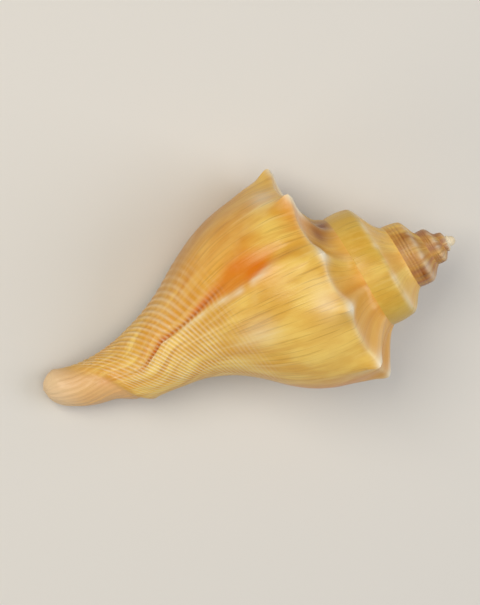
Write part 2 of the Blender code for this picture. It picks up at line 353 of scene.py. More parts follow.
def cord_strengths(angle, depth, ramp):
    """How strong the coarse and the fine spiral cords are at a point, from 0 to 1."""
    way = way_down(angle, depth)
    ends = step_between(FASCIOLE_DEPTHS(angle) - depth, 0.3, 2.5) * (1.0 - ramp)
    ends = ends * step_between(angle, LAST_TURN, LAST_TURN + 12.0)
    new_side = step_between(off_scar(angle, depth), 0.0, 8.0)
    patchy = 0.75 + 0.35 * mottle(angle / 9.0, way * 14.0, 5)
    coarse = new_side * step_between(way, 0.42, 0.74) * patchy
    fine = 0.35 * step_between(way, 0.46, 0.56) + 0.65 * step_between(way, 0.60, 0.72)
    fine = fine * (1.0 - new_side) * patchy
    fine = fine * (0.5 + 0.5 * step_between(angle, -80.0, -30.0))
    return ends * coarse, ends * fine


def cord_height(angle, depth, ramp):
    turns = 2.0 * np.pi * cord_way(angle, depth)
    coarse, fine = cord_strengths(angle, depth, ramp)
    coarse = coarse * (0.5 + 0.5 * np.cos(turns / COARSE_CORDS)) ** 1.4
    fine = fine * (0.5 + 0.5 * np.cos(turns / FINE_CORDS))
    return COARSE_HEIGHT * coarse + FINE_HEIGHT * fine


def thread_strength(angle, depth, ramp):
    """How dark the thin growth lines are: most on the old side of the groove and on the spire."""
    patchy = 0.5 + 0.5 * mottle(angle / 12.0, depth / 9.0, 61)
    strength = 0.20 + 0.35 * patchy + 0.5 * spot(angle, depth, 16.0, 45.0, 18.0, 9.0)
    early = step_between(-angle, 560.0, 760.0)
    strength += 0.4 * spot(angle, depth, 60.0, 42.0, 10.0, 6.0) + 0.3 * early
    return np.clip(strength - 0.1 * ramp, 0.0, 1.0)


def fold_height(angle, depth, ramp):
    """Folds that lead from each spine up the ramp to the seam and a little down the side."""
    top = grown(angle, shoulder_depth_log)
    fold = np.zeros_like(depth)
    for spine_angle, tall in SPINES:
        down = step_between(depth, top - 1.0, top + 2.0)
        down = down * np.exp(-np.maximum(depth - top, 0.0) / 7.0)
        near = bump_at(angle, spine_angle + 3.0 * ramp, 5.5)
        fold = fold + tall * near * (0.32 * ramp + 0.3 * down)
    return fold


def rib_height(angle, depth):
    """Ribs across the early whorls, from seam to seam."""
    early = step_between(-angle, 560.0, 760.0)
    size = np.exp(np.clip(angle + 700.0, -1300.0, 0.0) / TURN * math.log(TURN_GROWTH))
    wave = 0.5 + 0.5 * np.cos(np.radians(lip_line(angle, depth) * 20.0))
    return 0.16 * early * size * wave * (0.8 + 0.3 * ripple(angle / 17.0, 8))


def scar_height(angle, depth):
    """The groove of the pause in growth, with the old lip's rim on its old side."""
    off = off_scar(angle, depth)
    ends = step_between(depth, SCAR_TOP, SCAR_TOP + 8.0) * (1.0 - step_between(depth, 82.0, 88.0))
    wide = 1.0 + 1.2 * bump_at(depth, 55.0, 8.0)
    groove = -0.8 * bump_at(off, 0.0, 3.6 * wide)
    rim = 0.5 * bump_at(off, rim_off(depth), 2.6) * (0.7 + 0.3 * ripple(depth / 3.0, 11))
    swell = 0.5 * bump_at(off, 14.0, 9.0)
    return ends * (groove + rim + swell)


def fasciole_height(angle, depth):
    past = depth - FASCIOLE_DEPTHS(angle)
    sharp = 1.0 - 0.8 * step_between(angle, 5.0, 55.0)
    return sharp * (0.42 * bump_at(past, -1.0, 1.1) - 0.34 * bump_at(past, 0.9, 1.1))


def growth_height(angle, depth, ramp):
    """Low ridges along the old lips, stronger on the ramp and on the upper spire."""
    line = lip_line(angle, depth)
    lines = 0.6 * ripple(line / 5.5, 1) + 0.4 * ripple(line / 2.7, 2)
    early = step_between(-angle, 560.0, 760.0)
    strength = 0.07 + 0.05 * ramp + 0.07 * early
    strength = strength + 0.08 * step_between(depth - FASCIOLE_DEPTHS(angle), 0.0, 2.0)
    return strength * lines * step_between(angle, FIRST_ANGLE + 300.0, FIRST_ANGLE + 700.0)


print("way down at 75 mm depth, lip side:", round(float(way_down(np.array(90.0), 75.0)), 2))

# %% Spiral grooves of the early whorls
GROOVES = (0.42, 0.62, 0.80, 0.93)
GROOVE_DEPTH = 0.16


def early_grooves(angle, down):
    """Grooves on the side of the early whorls: down is 0 at the keel and 1 at the lower seam."""
    lines = sum(bump_at(down, at, 0.055) for at in GROOVES)
    return lines * step_between(-angle, 600.0, 700.0) * (0.75 + 0.35 * ripple(angle / 15.0, 71))


print("spiral grooves on each early whorl:", len(GROOVES))


# %% [markdown]
# Colours follow the same lines. Each stain, painted highlight or patch of painted shade is a mask
# from 0 to 1, kept in a colour attribute of the mesh, with four masks in one attribute: its red,
# green, blue and alpha. The material later gives every mask its own colour. A mask in an
# attribute stays on the wall, however the wall turns, and needs no picture.


# %% Masks of the stains, painted highlights and painted shade
def stain_and_light_masks(angle, depth, ramp, down):
    """Orange, brown, cream and tan, with painted shade in the brown and tan and painted highlights
    in the cream.
    """
    off = off_scar(angle, depth)
    along = step_between(depth, 42.0, 50.0) * (1.0 - step_between(depth, 80.0, 88.0))
    ragged = 0.8 + 0.35 * mottle(angle / 4.0, depth / 6.0, 21)
    wide = 3.2 + 5.8 * bump_at(depth, 54.0, 6.5)
    orange = np.exp(-np.abs((off - 0.5) / wide) ** 2.6) * along * ragged
    orange += 0.55 * spot(angle, depth, 25.0, 48.0, 7.0, 5.0)
    orange += 0.15 * bump_at(off, 12.0, 8.0) * along * ragged
    orange += 0.25 * bump_at(off, 22.0, 16.0) * step_between(depth, 34.0, 44.0) * along
    orange += 0.75 * spot(angle, depth, -80.0, 46.0, 16.0, 13.0)
    orange += 0.40 * spot(angle, depth, 46.0, 36.0, 12.0, 3.0)
    orange += 0.25 * spot(angle, depth, 0.0, 92.0, 30.0, 4.0)
    uneven = 0.6 + 0.5 * ripple(angle / 13.0, 31)
    orange += 0.35 * step_between(angle, -620.0, -560.0) * ramp * uneven
    brown = 1.0 * spot(angle, depth, 68.0, 29.8, 20.0, 2.4) * ramp
    brown += 0.7 * spot(angle, depth, 46.0, 31.8, 9.0, 1.5) * ramp
    brown += 0.5 * spot(angle, depth, 29.0, 33.0, 5.0, 1.2) * ramp
    # The brown in the spiral grooves of the early whorls is painted shade.
    brown += 0.55 * early_grooves(angle, down)
    brown += 0.8 * spot(angle, depth, -757.0, 10.4, 16.0, 1.2)
    brown += 0.7 * spot(angle, depth, -681.0, 11.2, 10.0, 1.4)
    # The thin brown line along the floor of the groove is painted shade.
    brown += 0.5 * bump_at(off, 0.0, 1.5) * along * step_between(depth, 54.0, 64.0)
    top = grown(angle, shoulder_depth_log) + RIDGE_SAG * between_spines(angle)
    cream = 0.25 * bump_at(depth, top, 0.8) * step_between(angle, -260.0, -150.0)
    cream += 0.45 * bump_at(depth, top, 0.7) * step_between(-angle, 200.0, 260.0) * (
        0.6 + 0.5 * ripple(angle / 6.0, 72))
    for spine_angle, tall in SPINES:
        cream += 0.8 * bump_at(angle, spine_angle, 3.2) * bump_at(depth, top, 1.2)
        cream += 0.12 * bump_at(angle, spine_angle + 3.0, 3.0) * ramp
    cream += 0.5 * spot(angle, depth, 68.0, 41.0, 8.0, 3.2)
    # These two pale spots on the back are painted highlights, where the lights are reflected.
    cream += 0.35 * spot(angle, depth, -8.0, 54.6, 9.0, 4.5)
    cream += 0.30 * spot(angle, depth, -4.0, 36.5, 9.0, 3.0)
    # The cream along the crest of the old lip's rim is a painted highlight.
    cream += 0.6 * bump_at(off, rim_off(depth), 1.7) * along * (0.6 + 0.6 * ripple(depth / 2.2, 12))
    cream += step_between(-depth, -2.6, -1.9) + 0.4 * step_between(depth, 99.0, 109.0)
    # The tan on the lip side, where the wall turns away towards the outline, is painted shade.
    tan = 0.9 * step_between(angle, 55.0, 80.0) * bump_at(depth, 62.0, 20.0)
    tan += 0.4 * step_between(angle, 40.0, 80.0) * step_between(depth, 80.0, 90.0)
    return [np.clip(mask, 0.0, 1.0) for mask in (orange, brown, cream, tan)]


def tone_masks(angle, depth, ramp):
    """Olive, spire brown, pale yellow, which is partly painted light on the ramps, and the canal's
    pink beige.
    """
    penult = step_between(angle, -620.0, -560.0) * (1.0 - step_between(angle, -215.0, -185.0))
    olive = 0.8 * penult * (1.0 - ramp) * (0.8 + 0.3 * ripple(angle / 11.0, 41))
    olive += 0.25 * spot(angle, depth, 5.0, 45.0, 26.0, 10.0)
    banded = 0.75 + 0.35 * ripple(lip_line(angle, depth) / 9.0, 42)
    spire = step_between(-angle, 600.0, 760.0) * banded
    # On the ramps the pale yellow is partly the shell's own golden colour and partly painted light:
    # the ramps face the light from the right.
    pale = 0.6 * penult * ramp + 0.5 * spot(angle, depth, -30.0, 40.0, 25.0, 12.0)
    pale += 0.45 * ramp * step_between(angle, -80.0, -20.0) * (0.6 + 0.6 * ripple(angle / 7.0, 51))
    soft = 1.0 + 4.0 * step_between(angle, 0.0, 50.0)
    end = 0.85 * step_between((depth - FASCIOLE_DEPTHS(angle)) / soft, -0.6, 1.2)
    return [np.clip(mask, 0.0, 1.0) for mask in (olive, spire, pale, end)]


in_groove = stain_and_light_masks(np.array([[28.0]]), np.array([[65.0]]), np.zeros((1, 1)), np.ones((1, 1)))
print("orange in the groove at 65 mm depth:", round(float(in_groove[0][0, 0]), 2))


# %% [markdown]
# A grid primitive is a flat sheet of squares. Rolled up by the growth rule, its rows become
# growth stages and its columns the lines that run round the shell. The spire's whorls share
# their seams: the last column of one turn lies exactly on the first column of the next, so
# merging doubles sews them together. The last turn has its own grid, because it reaches down
# to the tip of the canal.

# %% Columns and rows
ROW_STEP = 2.0
KEEL_ROUNDING_BODY = 2
KEEL_ROUNDING_SPIRE = 12
RAMP_COLUMNS = np.linspace(0.0, 1.0, 19) ** 1.7
UPPER_COLUMNS = np.linspace(0.0, 1.0, 25)[1:] ** 1.15
LOWER_COLUMNS = np.linspace(0.0, 1.0, LOWER_ROWS + 1)[1:]
CANAL_COLUMNS = np.sin(np.linspace(0.0, np.pi / 2.0, 44)[1:])
SEAM_COLUMN = len(RAMP_COLUMNS) + len(UPPER_COLUMNS) - 1
spire_angles = np.arange(FIRST_ANGLE, LAST_TURN + 0.5 * ROW_STEP, ROW_STEP)
body_angles = np.arange(LAST_TURN, LIP_ANGLE + 0.5 * ROW_STEP, ROW_STEP)
print("rows on the spire and the last turn:", len(spire_angles), len(body_angles))


# %% Rolling up
def outside_arrays(angles, full):
    """Angle, depth, radius and ramp mask of each crossing of rows and columns."""
    angle = angles[:, None]
    depth, radius = ramp_at(angle, RAMP_COLUMNS[None, :])
    top, join = depth[:, -1:], suture(angle + TURN)[0]
    upper = top + (join - top) * UPPER_COLUMNS[None, :]
    depths, radii = [depth, upper], [radius, side_at(angle, upper)]
    if full:
        lower = join + (waist(angle) - join) * LOWER_COLUMNS[None, :]
        canal = waist(angle) + (LENGTH - waist(angle)) * CANAL_COLUMNS[None, :]
        depths += [lower, canal]
        radii += [side_at(angle, lower), side_at(angle, canal)]
    depth, radius = np.concatenate(depths, 1), np.concatenate(radii, 1)
    keel = len(RAMP_COLUMNS) - 1
    for part in (depth, radius):
        for stage in range(KEEL_ROUNDING_SPIRE):
            middle = part[:, keel - 8:keel + 8]
            beside = part[:, keel - 9:keel + 7] + part[:, keel - 7:keel + 9]
            rounder = 0.25 * (beside - 2.0 * middle)
            sharp = step_between(angle, LAST_TURN, -120.0) * (stage >= KEEL_ROUNDING_BODY)
            part[:, keel - 8:keel + 8] = middle + rounder * (1.0 - sharp)
    ramp = np.zeros_like(depth)
    ramp[:, :len(RAMP_COLUMNS)] = 1.0 - step_between(RAMP_COLUMNS, 0.92, 1.0)
    return np.broadcast_to(angle, depth.shape), depth, radius, ramp


def whorl_down(depth):
    down = np.zeros_like(depth)
    down[:, len(RAMP_COLUMNS):SEAM_COLUMN + 1] = UPPER_COLUMNS
    down[:, SEAM_COLUMN + 1:] = 1.0
    return down


def raise_relief(angle, depth, radius, ramp, full):
    """Move each crossing along the wall's normal by the height of its relief."""
    run, rise = np.gradient(depth, axis=1), np.gradient(radius, axis=1)
    size = np.maximum(np.hypot(run, rise), 1e-9)
    relief = {"growth": growth_height(angle, depth, ramp)}
    side = 1.0 - ramp
    last = step_between(angle, LAST_TURN, LAST_TURN + 12.0)
    relief["folds"] = fold_height(angle, depth, ramp)
    relief["ribs"] = rib_height(angle, depth)
    relief["grooves"] = -GROOVE_DEPTH * early_grooves(angle, whorl_down(depth))
    relief["cords"] = cord_height(angle, depth, ramp)
    relief["scar"] = scar_height(angle, depth) * side * last
    relief["fasciole"] = fasciole_height(angle, depth) * side * last
    height = sum(relief.values())
    seam = suture(angle + TURN)[0]
    covered = 1.0 - last if full else 1.0
    calm = 1.0 - bump_at(depth, seam, 0.9) * covered
    start = suture(angle)[0]
    calm = calm * (1.0 - np.where(ramp > 0.0, bump_at(depth, start, 0.25), 0.0))
    calm = calm * step_between(LENGTH - depth, 0.0, 1.5)
    calm[:, 0] = 0.0
    if not full:
        calm[:, -1] = 0.0
    height = height * calm
    rounded = -0.35 * np.exp(-((LIP_ANGLE - angle) / 1.6)) * (1.0 if full else 0.0)
    height = height + rounded * step_between(LENGTH - depth, 0.5, 8.0) * (calm > 0.0)
    return depth - height * rise / size, radius + height * run / size


def rolled_grid(name, spots):
    """A grid primitive moved to rows and columns of points, and where its own points went."""
    rows, columns = spots.shape[:2]
    bpy.ops.object.select_all(action="DESELECT")
    bpy.ops.mesh.primitive_grid_add(x_subdivisions=rows - 1, y_subdivisions=columns - 1, size=2.0)
    sheet = bpy.context.object
    sheet.name = name
    flat = np.empty(len(sheet.data.vertices) * 3)
    sheet.data.vertices.foreach_get("co", flat)
    flat = flat.reshape(-1, 3)
    row = np.rint((flat[:, 0] + 1.0) / 2.0 * (rows - 1)).astype(int)
    column = np.rint((flat[:, 1] + 1.0) / 2.0 * (columns - 1)).astype(int)
    sheet.data.vertices.foreach_set("co", spots[row, column].astype(np.float32).ravel())
    return sheet, row, column


def growth_sheet(name, angles, full):
    """A grid primitive, rolled up into the wall's outside, with its masks and its UV map."""
    angle, depth, radius, ramp = outside_arrays(angles, full)
    new_depth, new_radius = raise_relief(angle, depth, radius, ramp, full)
    seam_rows = slice(0, 1) if full else slice(None)
    seam_depth, seam_radius = suture(angles[seam_rows] + TURN)
    new_depth[seam_rows, SEAM_COLUMN], new_radius[seam_rows, SEAM_COLUMN] = seam_depth, seam_radius
    spots = place(angle, new_depth, new_radius)
    sheet, row, column = rolled_grid(name, spots)
    mesh = sheet.data
    corner = np.empty(len(mesh.loops), dtype=np.int32)
    mesh.loops.foreach_get("vertex_index", corner)
    along = np.stack([lip_line(angle, depth) / TURN, cord_way(angle, depth)], -1)[row, column]
    mesh.uv_layers.active.name = "growth"
    mesh.uv_layers.active.uv.foreach_set("vector", along[corner].astype(np.float32).ravel())
    paint(mesh, "stain_and_light", stain_and_light_masks(angle, depth, ramp, whorl_down(depth)), (row, column), corner)
    paint(mesh, "tone", tone_masks(angle, depth, ramp), (row, column), corner)
    coarse, fine = cord_strengths(angle, depth, ramp)
    threads = thread_strength(angle, depth, ramp)
    paint(mesh, "cords", (coarse, fine, threads, np.ones_like(fine)), (row, column), corner)
    return sheet, spots


def paint(mesh, name, masks, crossing, corner):
    colours = np.stack([mask[crossing] for mask in masks], -1)[corner]
    layer = mesh.color_attributes.new(name=name, type="FLOAT_COLOR", domain="CORNER")
    layer.data.foreach_set("color", colours.astype(np.float32).ravel())


bpy.ops.object.select_all(action="DESELECT")
spire, spire_spots = growth_sheet("spire sheet", spire_angles, False)
body, body_spots = growth_sheet("last whorl sheet", body_angles, True)
print("squares in the two sheets:", len(spire.data.polygons), len(body.data.polygons))

# %% [markdown]
# Three small faces close the sheets: a fan under the knob of the apex, the first growth stage
# itself, and the flat face where the lip stands. Boolean cuts need a closed body.


# %% Closing the body
def flat_piece(name, spots, faces):
    mesh = bpy.data.meshes.new(name)
    mesh.from_pydata([tuple(spot) for spot in spots], [], faces)
    piece = bpy.data.objects.new(name, mesh)
    bpy.context.scene.collection.objects.link(piece)
    return piece


MERGE_DISTANCE = 0.0004
rows_per_turn = round(TURN / ROW_STEP)
rim = spire_spots[:rows_per_turn + 1, 0]
fan_faces = [(0, k, k + 1) for k in range(1, len(rim))] + [(0, len(rim), 1)]
fan = flat_piece("apex fan", np.vstack([[0.0, 0.0, 0.0], rim]), fan_faces)
stage = spire_spots[0]
first_stage = flat_piece("first stage", stage, [tuple(range(len(stage)))])
lip_outline = np.vstack([body_spots[-1], body_spots[0, SEAM_COLUMN + 1:-1][::-1]])
lip_face = flat_piece("lip face", lip_outline, [tuple(range(len(lip_outline)))])

for piece in (fan, first_stage, lip_face, spire, body):
    piece.select_set(True)
bpy.context.view_layer.objects.active = body
bpy.ops.object.join()
shell = bpy.context.object
shell.name = "shell_wall"
bpy.ops.object.mode_set(mode="EDIT")
bpy.ops.mesh.select_all(action="SELECT")
bpy.ops.mesh.remove_doubles(threshold=MERGE_DISTANCE)
bpy.ops.mesh.quads_convert_to_tris(quad_method="SHORTEST_DIAGONAL", ngon_method="CLIP")
bpy.ops.mesh.normals_make_consistent(inside=False)
bpy.ops.object.mode_set(mode="OBJECT")


def open_edges(item):
    work = bmesh.new()
    work.from_mesh(item.data)
    count = sum(1 for edge in work.edges if len(edge.link_faces) != 2)
    work.free()
    return count


print("triangles:", len(shell.data.polygons), "open edges:", open_edges(shell))

# %% [markdown]
# The room of the animal winds up into the last whorl. It is cut with a second body, made the
# same way: a ring of points at each growth stage, one wall's thickness inside the outside and
# a callus outside the whorl before. The wall thins to its lip, as the wall was still growing
# there. The canal stays open towards the table, so a U-shaped gutter is cut along it.

# %% The room and the open canal
WALL = 1.9
LIP_WALL = 1.15
CALLUS = 0.4
ROOM_FRONT = LIP_ANGLE + 9.0
ROOM_BACK = LIP_ANGLE - 243.0
ROOM_STEP = 3.0
ROOM_BOTTOM_SHARE = 0.95
GUTTER_ANGLE = 122.0
GUTTER_WIDTH = 5.8
GUTTER_DEPTHS = (60, 66, 72, 78, 84, 90, 96, 101, 105, 108, 113)
GUTTER_FLOORS = (-7.5, -4.5, -1.6, 0.8, 2.2, 2.6, 2.4, 2.0, 1.2, -0.4, -3.0)
GUTTER_HEIGHT = 12.0


def room_spots():
    angle = np.arange(ROOM_FRONT, ROOM_BACK, -ROOM_STEP)[:, None]
    thick = WALL + (LIP_WALL - WALL) * step_between(angle, LIP_ANGLE - 22.0, LIP_ANGLE)
    start_depth, start_radius = suture(angle)
    top_radius = grown(angle, shoulder_radius_log)
    floor = waist(angle) * ROOM_BOTTOM_SHARE
    first_radius = start_radius + 0.14 * (top_radius - start_radius)
    top_radius = top_radius - RIDGE_DIP * between_spines(angle)
    roof_radius = first_radius + (top_radius - thick - first_radius) * np.linspace(0.0, 1.0, 11)
    roof_share = (roof_radius - start_radius) / (top_radius - start_radius)
    roof_depth = ramp_at(angle, roof_share, spines=0.0)[0] + thick
    outer_depth = roof_depth[:, -1:] + (floor - roof_depth[:, -1:]) * np.linspace(0.0, 1.0, 31)[1:]
    outer_radius = side_at(angle, outer_depth, spines=0.0) - thick
    corner = roof_depth[:, :1] + 1.0
    inner_depth = corner + (floor - corner) * np.linspace(1.0, 0.0, 33)
    inner_radius = side_at(angle - TURN, inner_depth, spines=0.0) + CALLUS
    depth = np.concatenate([roof_depth, outer_depth, inner_depth, roof_depth[:, :1]], 1)
    radius = np.concatenate([roof_radius, outer_radius, inner_radius, roof_radius[:, :1]], 1)
    return place(angle, depth, radius)


def gutter_spots():
    turn = math.radians(GUTTER_ANGLE)
    out = np.array([0.0, math.sin(turn), math.cos(turn)])
    across = np.array([0.0, math.cos(turn), -math.sin(turn)])
    floor_curve = curve_through(GUTTER_DEPTHS, GUTTER_FLOORS, 1.2)
    depths = np.arange(GUTTER_DEPTHS[0], GUTTER_DEPTHS[-1] + 0.5, 1.0)
    half = GUTTER_WIDTH / 2.0
    bow = np.radians(np.linspace(0.0, 180.0, 25))
    sideways = np.concatenate([[half], half * np.cos(bow), [-half, half]])
    upward = np.concatenate([[GUTTER_HEIGHT], half - half * np.sin(bow), [GUTTER_HEIGHT] * 2])
    middle = np.stack([-depths, bend_curve(depths), np.zeros(len(depths))], -1)
    rise = upward[None, :] - floor_curve(depths)[:, None]
    return middle[:, None] + sideways[None, :, None] * across + rise[..., None] * out


def cutter(name, spots):
    """A sheet closed to a tube by merging its first and last columns, with both ends filled."""
    tube = rolled_grid(name, spots)[0]
    bpy.ops.object.mode_set(mode="EDIT")
    bpy.ops.mesh.select_all(action="SELECT")
    bpy.ops.mesh.remove_doubles(threshold=MERGE_DISTANCE)
    bpy.ops.mesh.fill_holes(sides=0)
    bpy.ops.mesh.quads_convert_to_tris(quad_method="SHORTEST_DIAGONAL", ngon_method="CLIP")
    bpy.ops.mesh.normals_make_consistent(inside=False)
    bpy.ops.object.mode_set(mode="OBJECT")
    print(name, "open edges:", open_edges(tube))
    return tube


def cut_out(target, tools):
    """Take all the tools away from the target in one go."""
    box = bpy.data.collections.new("tools")
    bpy.context.scene.collection.children.link(box)
    for tool in tools:
        box.objects.link(tool)
    target.select_set(True)
    bpy.context.view_layer.objects.active = target
    bpy.ops.object.modifier_add(type="BOOLEAN")
    modifier = target.modifiers[-1]
    modifier.operation, modifier.solver = "DIFFERENCE", "EXACT"
    modifier.operand_type, modifier.collection = "COLLECTION", box
    modifier.material_mode = "TRANSFER"
    bpy.ops.object.modifier_apply(modifier=modifier.name)
    for tool in tools:
        bpy.data.objects.remove(tool)
    bpy.data.collections.remove(box)
    print("triangles after the cut:", sum(len(face.vertices) - 2 for face in target.data.polygons))


print("points in a ring of the room:", room_spots().shape[1])
print("points in a ring of the gutter:", gutter_spots().shape[1])


# %% [markdown]
# Both cutters carry the material of the inside, which the cut hands to the faces it makes.
# The materials get their nodes further on.

# %% Cutting
outside_skin = bpy.data.materials.new("weathered aragonite shell")
inside_glaze = bpy.data.materials.new("glazed shell lining")
shell.data.materials.append(outside_skin)
room = cutter("room", room_spots())
gutter = cutter("gutter", gutter_spots())
for tool in (room, gutter):
    tool.data.materials.append(inside_glaze)
cut_out(shell, (room, gutter))
print("materials:", [material.name for material in shell.data.materials])

# %% [markdown]
# The first chamber is the shell that the snail hatched with, a small white ball at the apex. A
# sphere has its shape. It is joined on after the cut, so that the cut meets a simple body.

# %% The first chamber
KNOB_RADIUS = 1.25
KNOB_CREAM = 0.85
bpy.ops.object.select_all(action="DESELECT")
bpy.ops.mesh.primitive_uv_sphere_add(segments=48, ring_count=24, radius=KNOB_RADIUS,
                                     location=(-KNOB_RADIUS, 0.0, 0.0),
                                     rotation=(0.0, math.pi / 2.0, 0.0))
knob = bpy.context.object
knob.data.materials.append(outside_skin)
bpy.ops.object.transform_apply(location=True, rotation=True, scale=True)
knob.data.uv_layers.active.name = "growth"
everywhere = np.zeros((len(knob.data.vertices), 1))
corner = np.empty(len(knob.data.loops), dtype=np.int32)
knob.data.loops.foreach_get("vertex_index", corner)
crossing = (np.arange(len(knob.data.vertices)), 0)
knob_stain = (everywhere, everywhere, everywhere + KNOB_CREAM, everywhere)
paint(knob.data, "stain_and_light", knob_stain, crossing, corner)
paint(knob.data, "tone", (everywhere,) * 4, crossing, corner)
paint(knob.data, "cords", (everywhere,) * 4, crossing, corner)
shell.select_set(True)
bpy.context.view_layer.objects.active = shell
bpy.ops.object.join()
print("first chamber, mm across:", 2.0 * KNOB_RADIUS)

# %% [markdown]
# The shell was made upright in its own frame. One matrix lays its mesh on the table, with the
# object left at the origin. A spine is longer here than in the solids and would reach a little
# into the table, so no point is left below it.

# %% Laying it on the table
SMOOTH_ANGLE = 38.0
shell.data.transform(to_table)
for vertex in shell.data.vertices:
    vertex.co.z = max(vertex.co.z, 0.0)
bpy.ops.object.shade_smooth_by_angle(angle=math.radians(SMOOTH_ANGLE))
print("open edges of the cut shell:", open_edges(shell))

# %% [markdown]
# The outside of such a shell is crystal laid down in thin sheets and then worn: satin, never
# mirror-like. Its ground is ochre. Streaks and stains follow the old lips, so the noises that
# make them are stretched along the growth map, on which one unit is a turn across, and the way
# from the lower seam to the waist along. The lining is smoother, as the snail's mantle glazed
# it to the last.


# %% Colours and nodes
def colour(hex_code):
    """sRGB hex to the linear values that Blender's colours take."""
    levels = [int(hex_code[k:k + 2], 16) / 255.0 for k in (1, 3, 5)]
    return [v / 12.92 if v <= 0.04045 else ((v + 0.055) / 1.055) ** 2.4 for v in levels] + [1.0]


def add_node(tree, kind, links=(), values=(), **settings):
    """One node with its settings, its fixed values and the sockets that feed it."""
    node = tree.nodes.new(kind)
    for name, value in settings.items():
        setattr(node, name, value)
    for socket, value in dict(values).items():
        node.inputs[socket].default_value = value
    for socket, source in dict(links).items():
        tree.links.new(source, node.inputs[socket])
    return node


print("ochre in linear light:", np.round(colour("#D9B25F")[:3], 3))

# %% The outside: worn, satin, ochre
outside_skin.use_nodes = True
tree = outside_skin.node_tree
shader = tree.nodes["Principled BSDF"]
growth_map = add_node(tree, "ShaderNodeUVMap", uv_map="growth").outputs[0]
solid_place = add_node(tree, "ShaderNodeTexCoord").outputs["Object"]
stain_and_light = add_node(tree, "ShaderNodeAttribute", attribute_name="stain_and_light")
tone = add_node(tree, "ShaderNodeAttribute", attribute_name="tone")
stain_and_light_parts = add_node(tree, "ShaderNodeSeparateColor", {"Color": stain_and_light.outputs["Color"]}).outputs
tone_parts = add_node(tree, "ShaderNodeSeparateColor", {"Color": tone.outputs["Color"]}).outputs
orange, brown, cream, tan = *stain_and_light_parts, stain_and_light.outputs["Alpha"]
olive, spire_brown, pale, beige = *tone_parts, tone.outputs["Alpha"]

cords = add_node(tree, "ShaderNodeAttribute", attribute_name="cords")
cord_parts = add_node(tree, "ShaderNodeSeparateColor", {"Color": cords.outputs["Color"]}).outputs
map_parts = add_node(tree, "ShaderNodeSeparateXYZ", {"Vector": growth_map}).outputs
print("nodes that read the maps and masks:", len(tree.nodes))

# %% [markdown]
# A noise for each kind of mark: its cells are 1/stretch units long each way. The first three
# follow the growth map, and the last two are the same in all directions, 11 mm and 0.4 mm.

# %% Noises of the outside
noise = {}
for name, source, stretch, detail, roughness, shift in (
        ("broad", growth_map, (26.0, 3.0, 1.0), 3.0, 0.5, 0.0),
        ("streaks", growth_map, (75.0, 1.4, 1.0), 4.0, 0.55, 4.0),
        ("threads", growth_map, (300.0, 2.2, 1.0), 2.0, 0.5, 9.0),
        ("clouds", solid_place, (90.0, 90.0, 90.0), 3.0, 0.5, 0.0),
        ("grain", solid_place, (2600.0, 2600.0, 2600.0), 2.0, 0.5, 0.0)):
    mapping = add_node(tree, "ShaderNodeMapping", {"Vector": source},
                       {"Scale": stretch, "Location": (shift, shift, shift)})
    noise[name] = add_node(tree, "ShaderNodeTexNoise", {"Vector": mapping.outputs[0]},
                           {"Scale": 1.0, "Detail": detail, "Roughness": roughness}).outputs["Fac"]

marks = {}
for name, source, low, high in (
        ("honey", "broad", 0.35, 0.68), ("dark streaks", "streaks", 0.50, 0.70),
        ("light streaks", "streaks", 0.46, 0.28), ("threads", "threads", 0.56, 0.66),
        ("worn", "clouds", 0.55, 0.8)):
    marks[name] = add_node(tree, "ShaderNodeMapRange", {"Value": noise[source]},
                           {"From Min": low, "From Max": high},
                           interpolation_type="SMOOTHSTEP").outputs[0]
dark_threads = add_node(tree, "ShaderNodeMath", {0: marks["threads"], 1: cord_parts["Blue"]},
                        operation="MULTIPLY").outputs[0]
print("kinds of marks:", len(marks))

# %% [markdown]
# The crests of the spiral ridges are paler. A cosine of the way down has its tops where the
# mesh has them, and the ridge's own strength hides it elsewhere.

# %% Crests of the ridges
crests = {}
for name, pitch, strength in (("coarse", COARSE_CORDS, cord_parts["Red"]),
                              ("fine", FINE_CORDS, cord_parts["Green"])):
    turns = add_node(tree, "ShaderNodeMath", {0: map_parts["Y"]}, {1: 2.0 * math.pi / pitch},
                     operation="MULTIPLY")
    wave = add_node(tree, "ShaderNodeMath", {0: turns.outputs[0]}, operation="COSINE")
    crest = add_node(tree, "ShaderNodeMapRange", {"Value": wave.outputs[0]},
                     {"From Min": -0.6, "From Max": 1.0})
    crests[name] = add_node(tree, "ShaderNodeMath", {0: crest.outputs[0], 1: strength},
                            operation="MULTIPLY").outputs[0]
print("ridges between the seam and the waist:", round(1.0 / COARSE_CORDS), round(1.0 / FINE_CORDS))

# %% [markdown]
# The colour is built up in layers, as a painter would: a ground of two ochres, then each mark
# over what is below it, by its mask and by a share that says how much of it covers.

# %% Layers of colour
ground = add_node(tree, "ShaderNodeMix", {"Factor": marks["honey"]},
                  {6: colour("#DBA339"), 7: colour("#EFC964")}, data_type="RGBA").outputs[2]
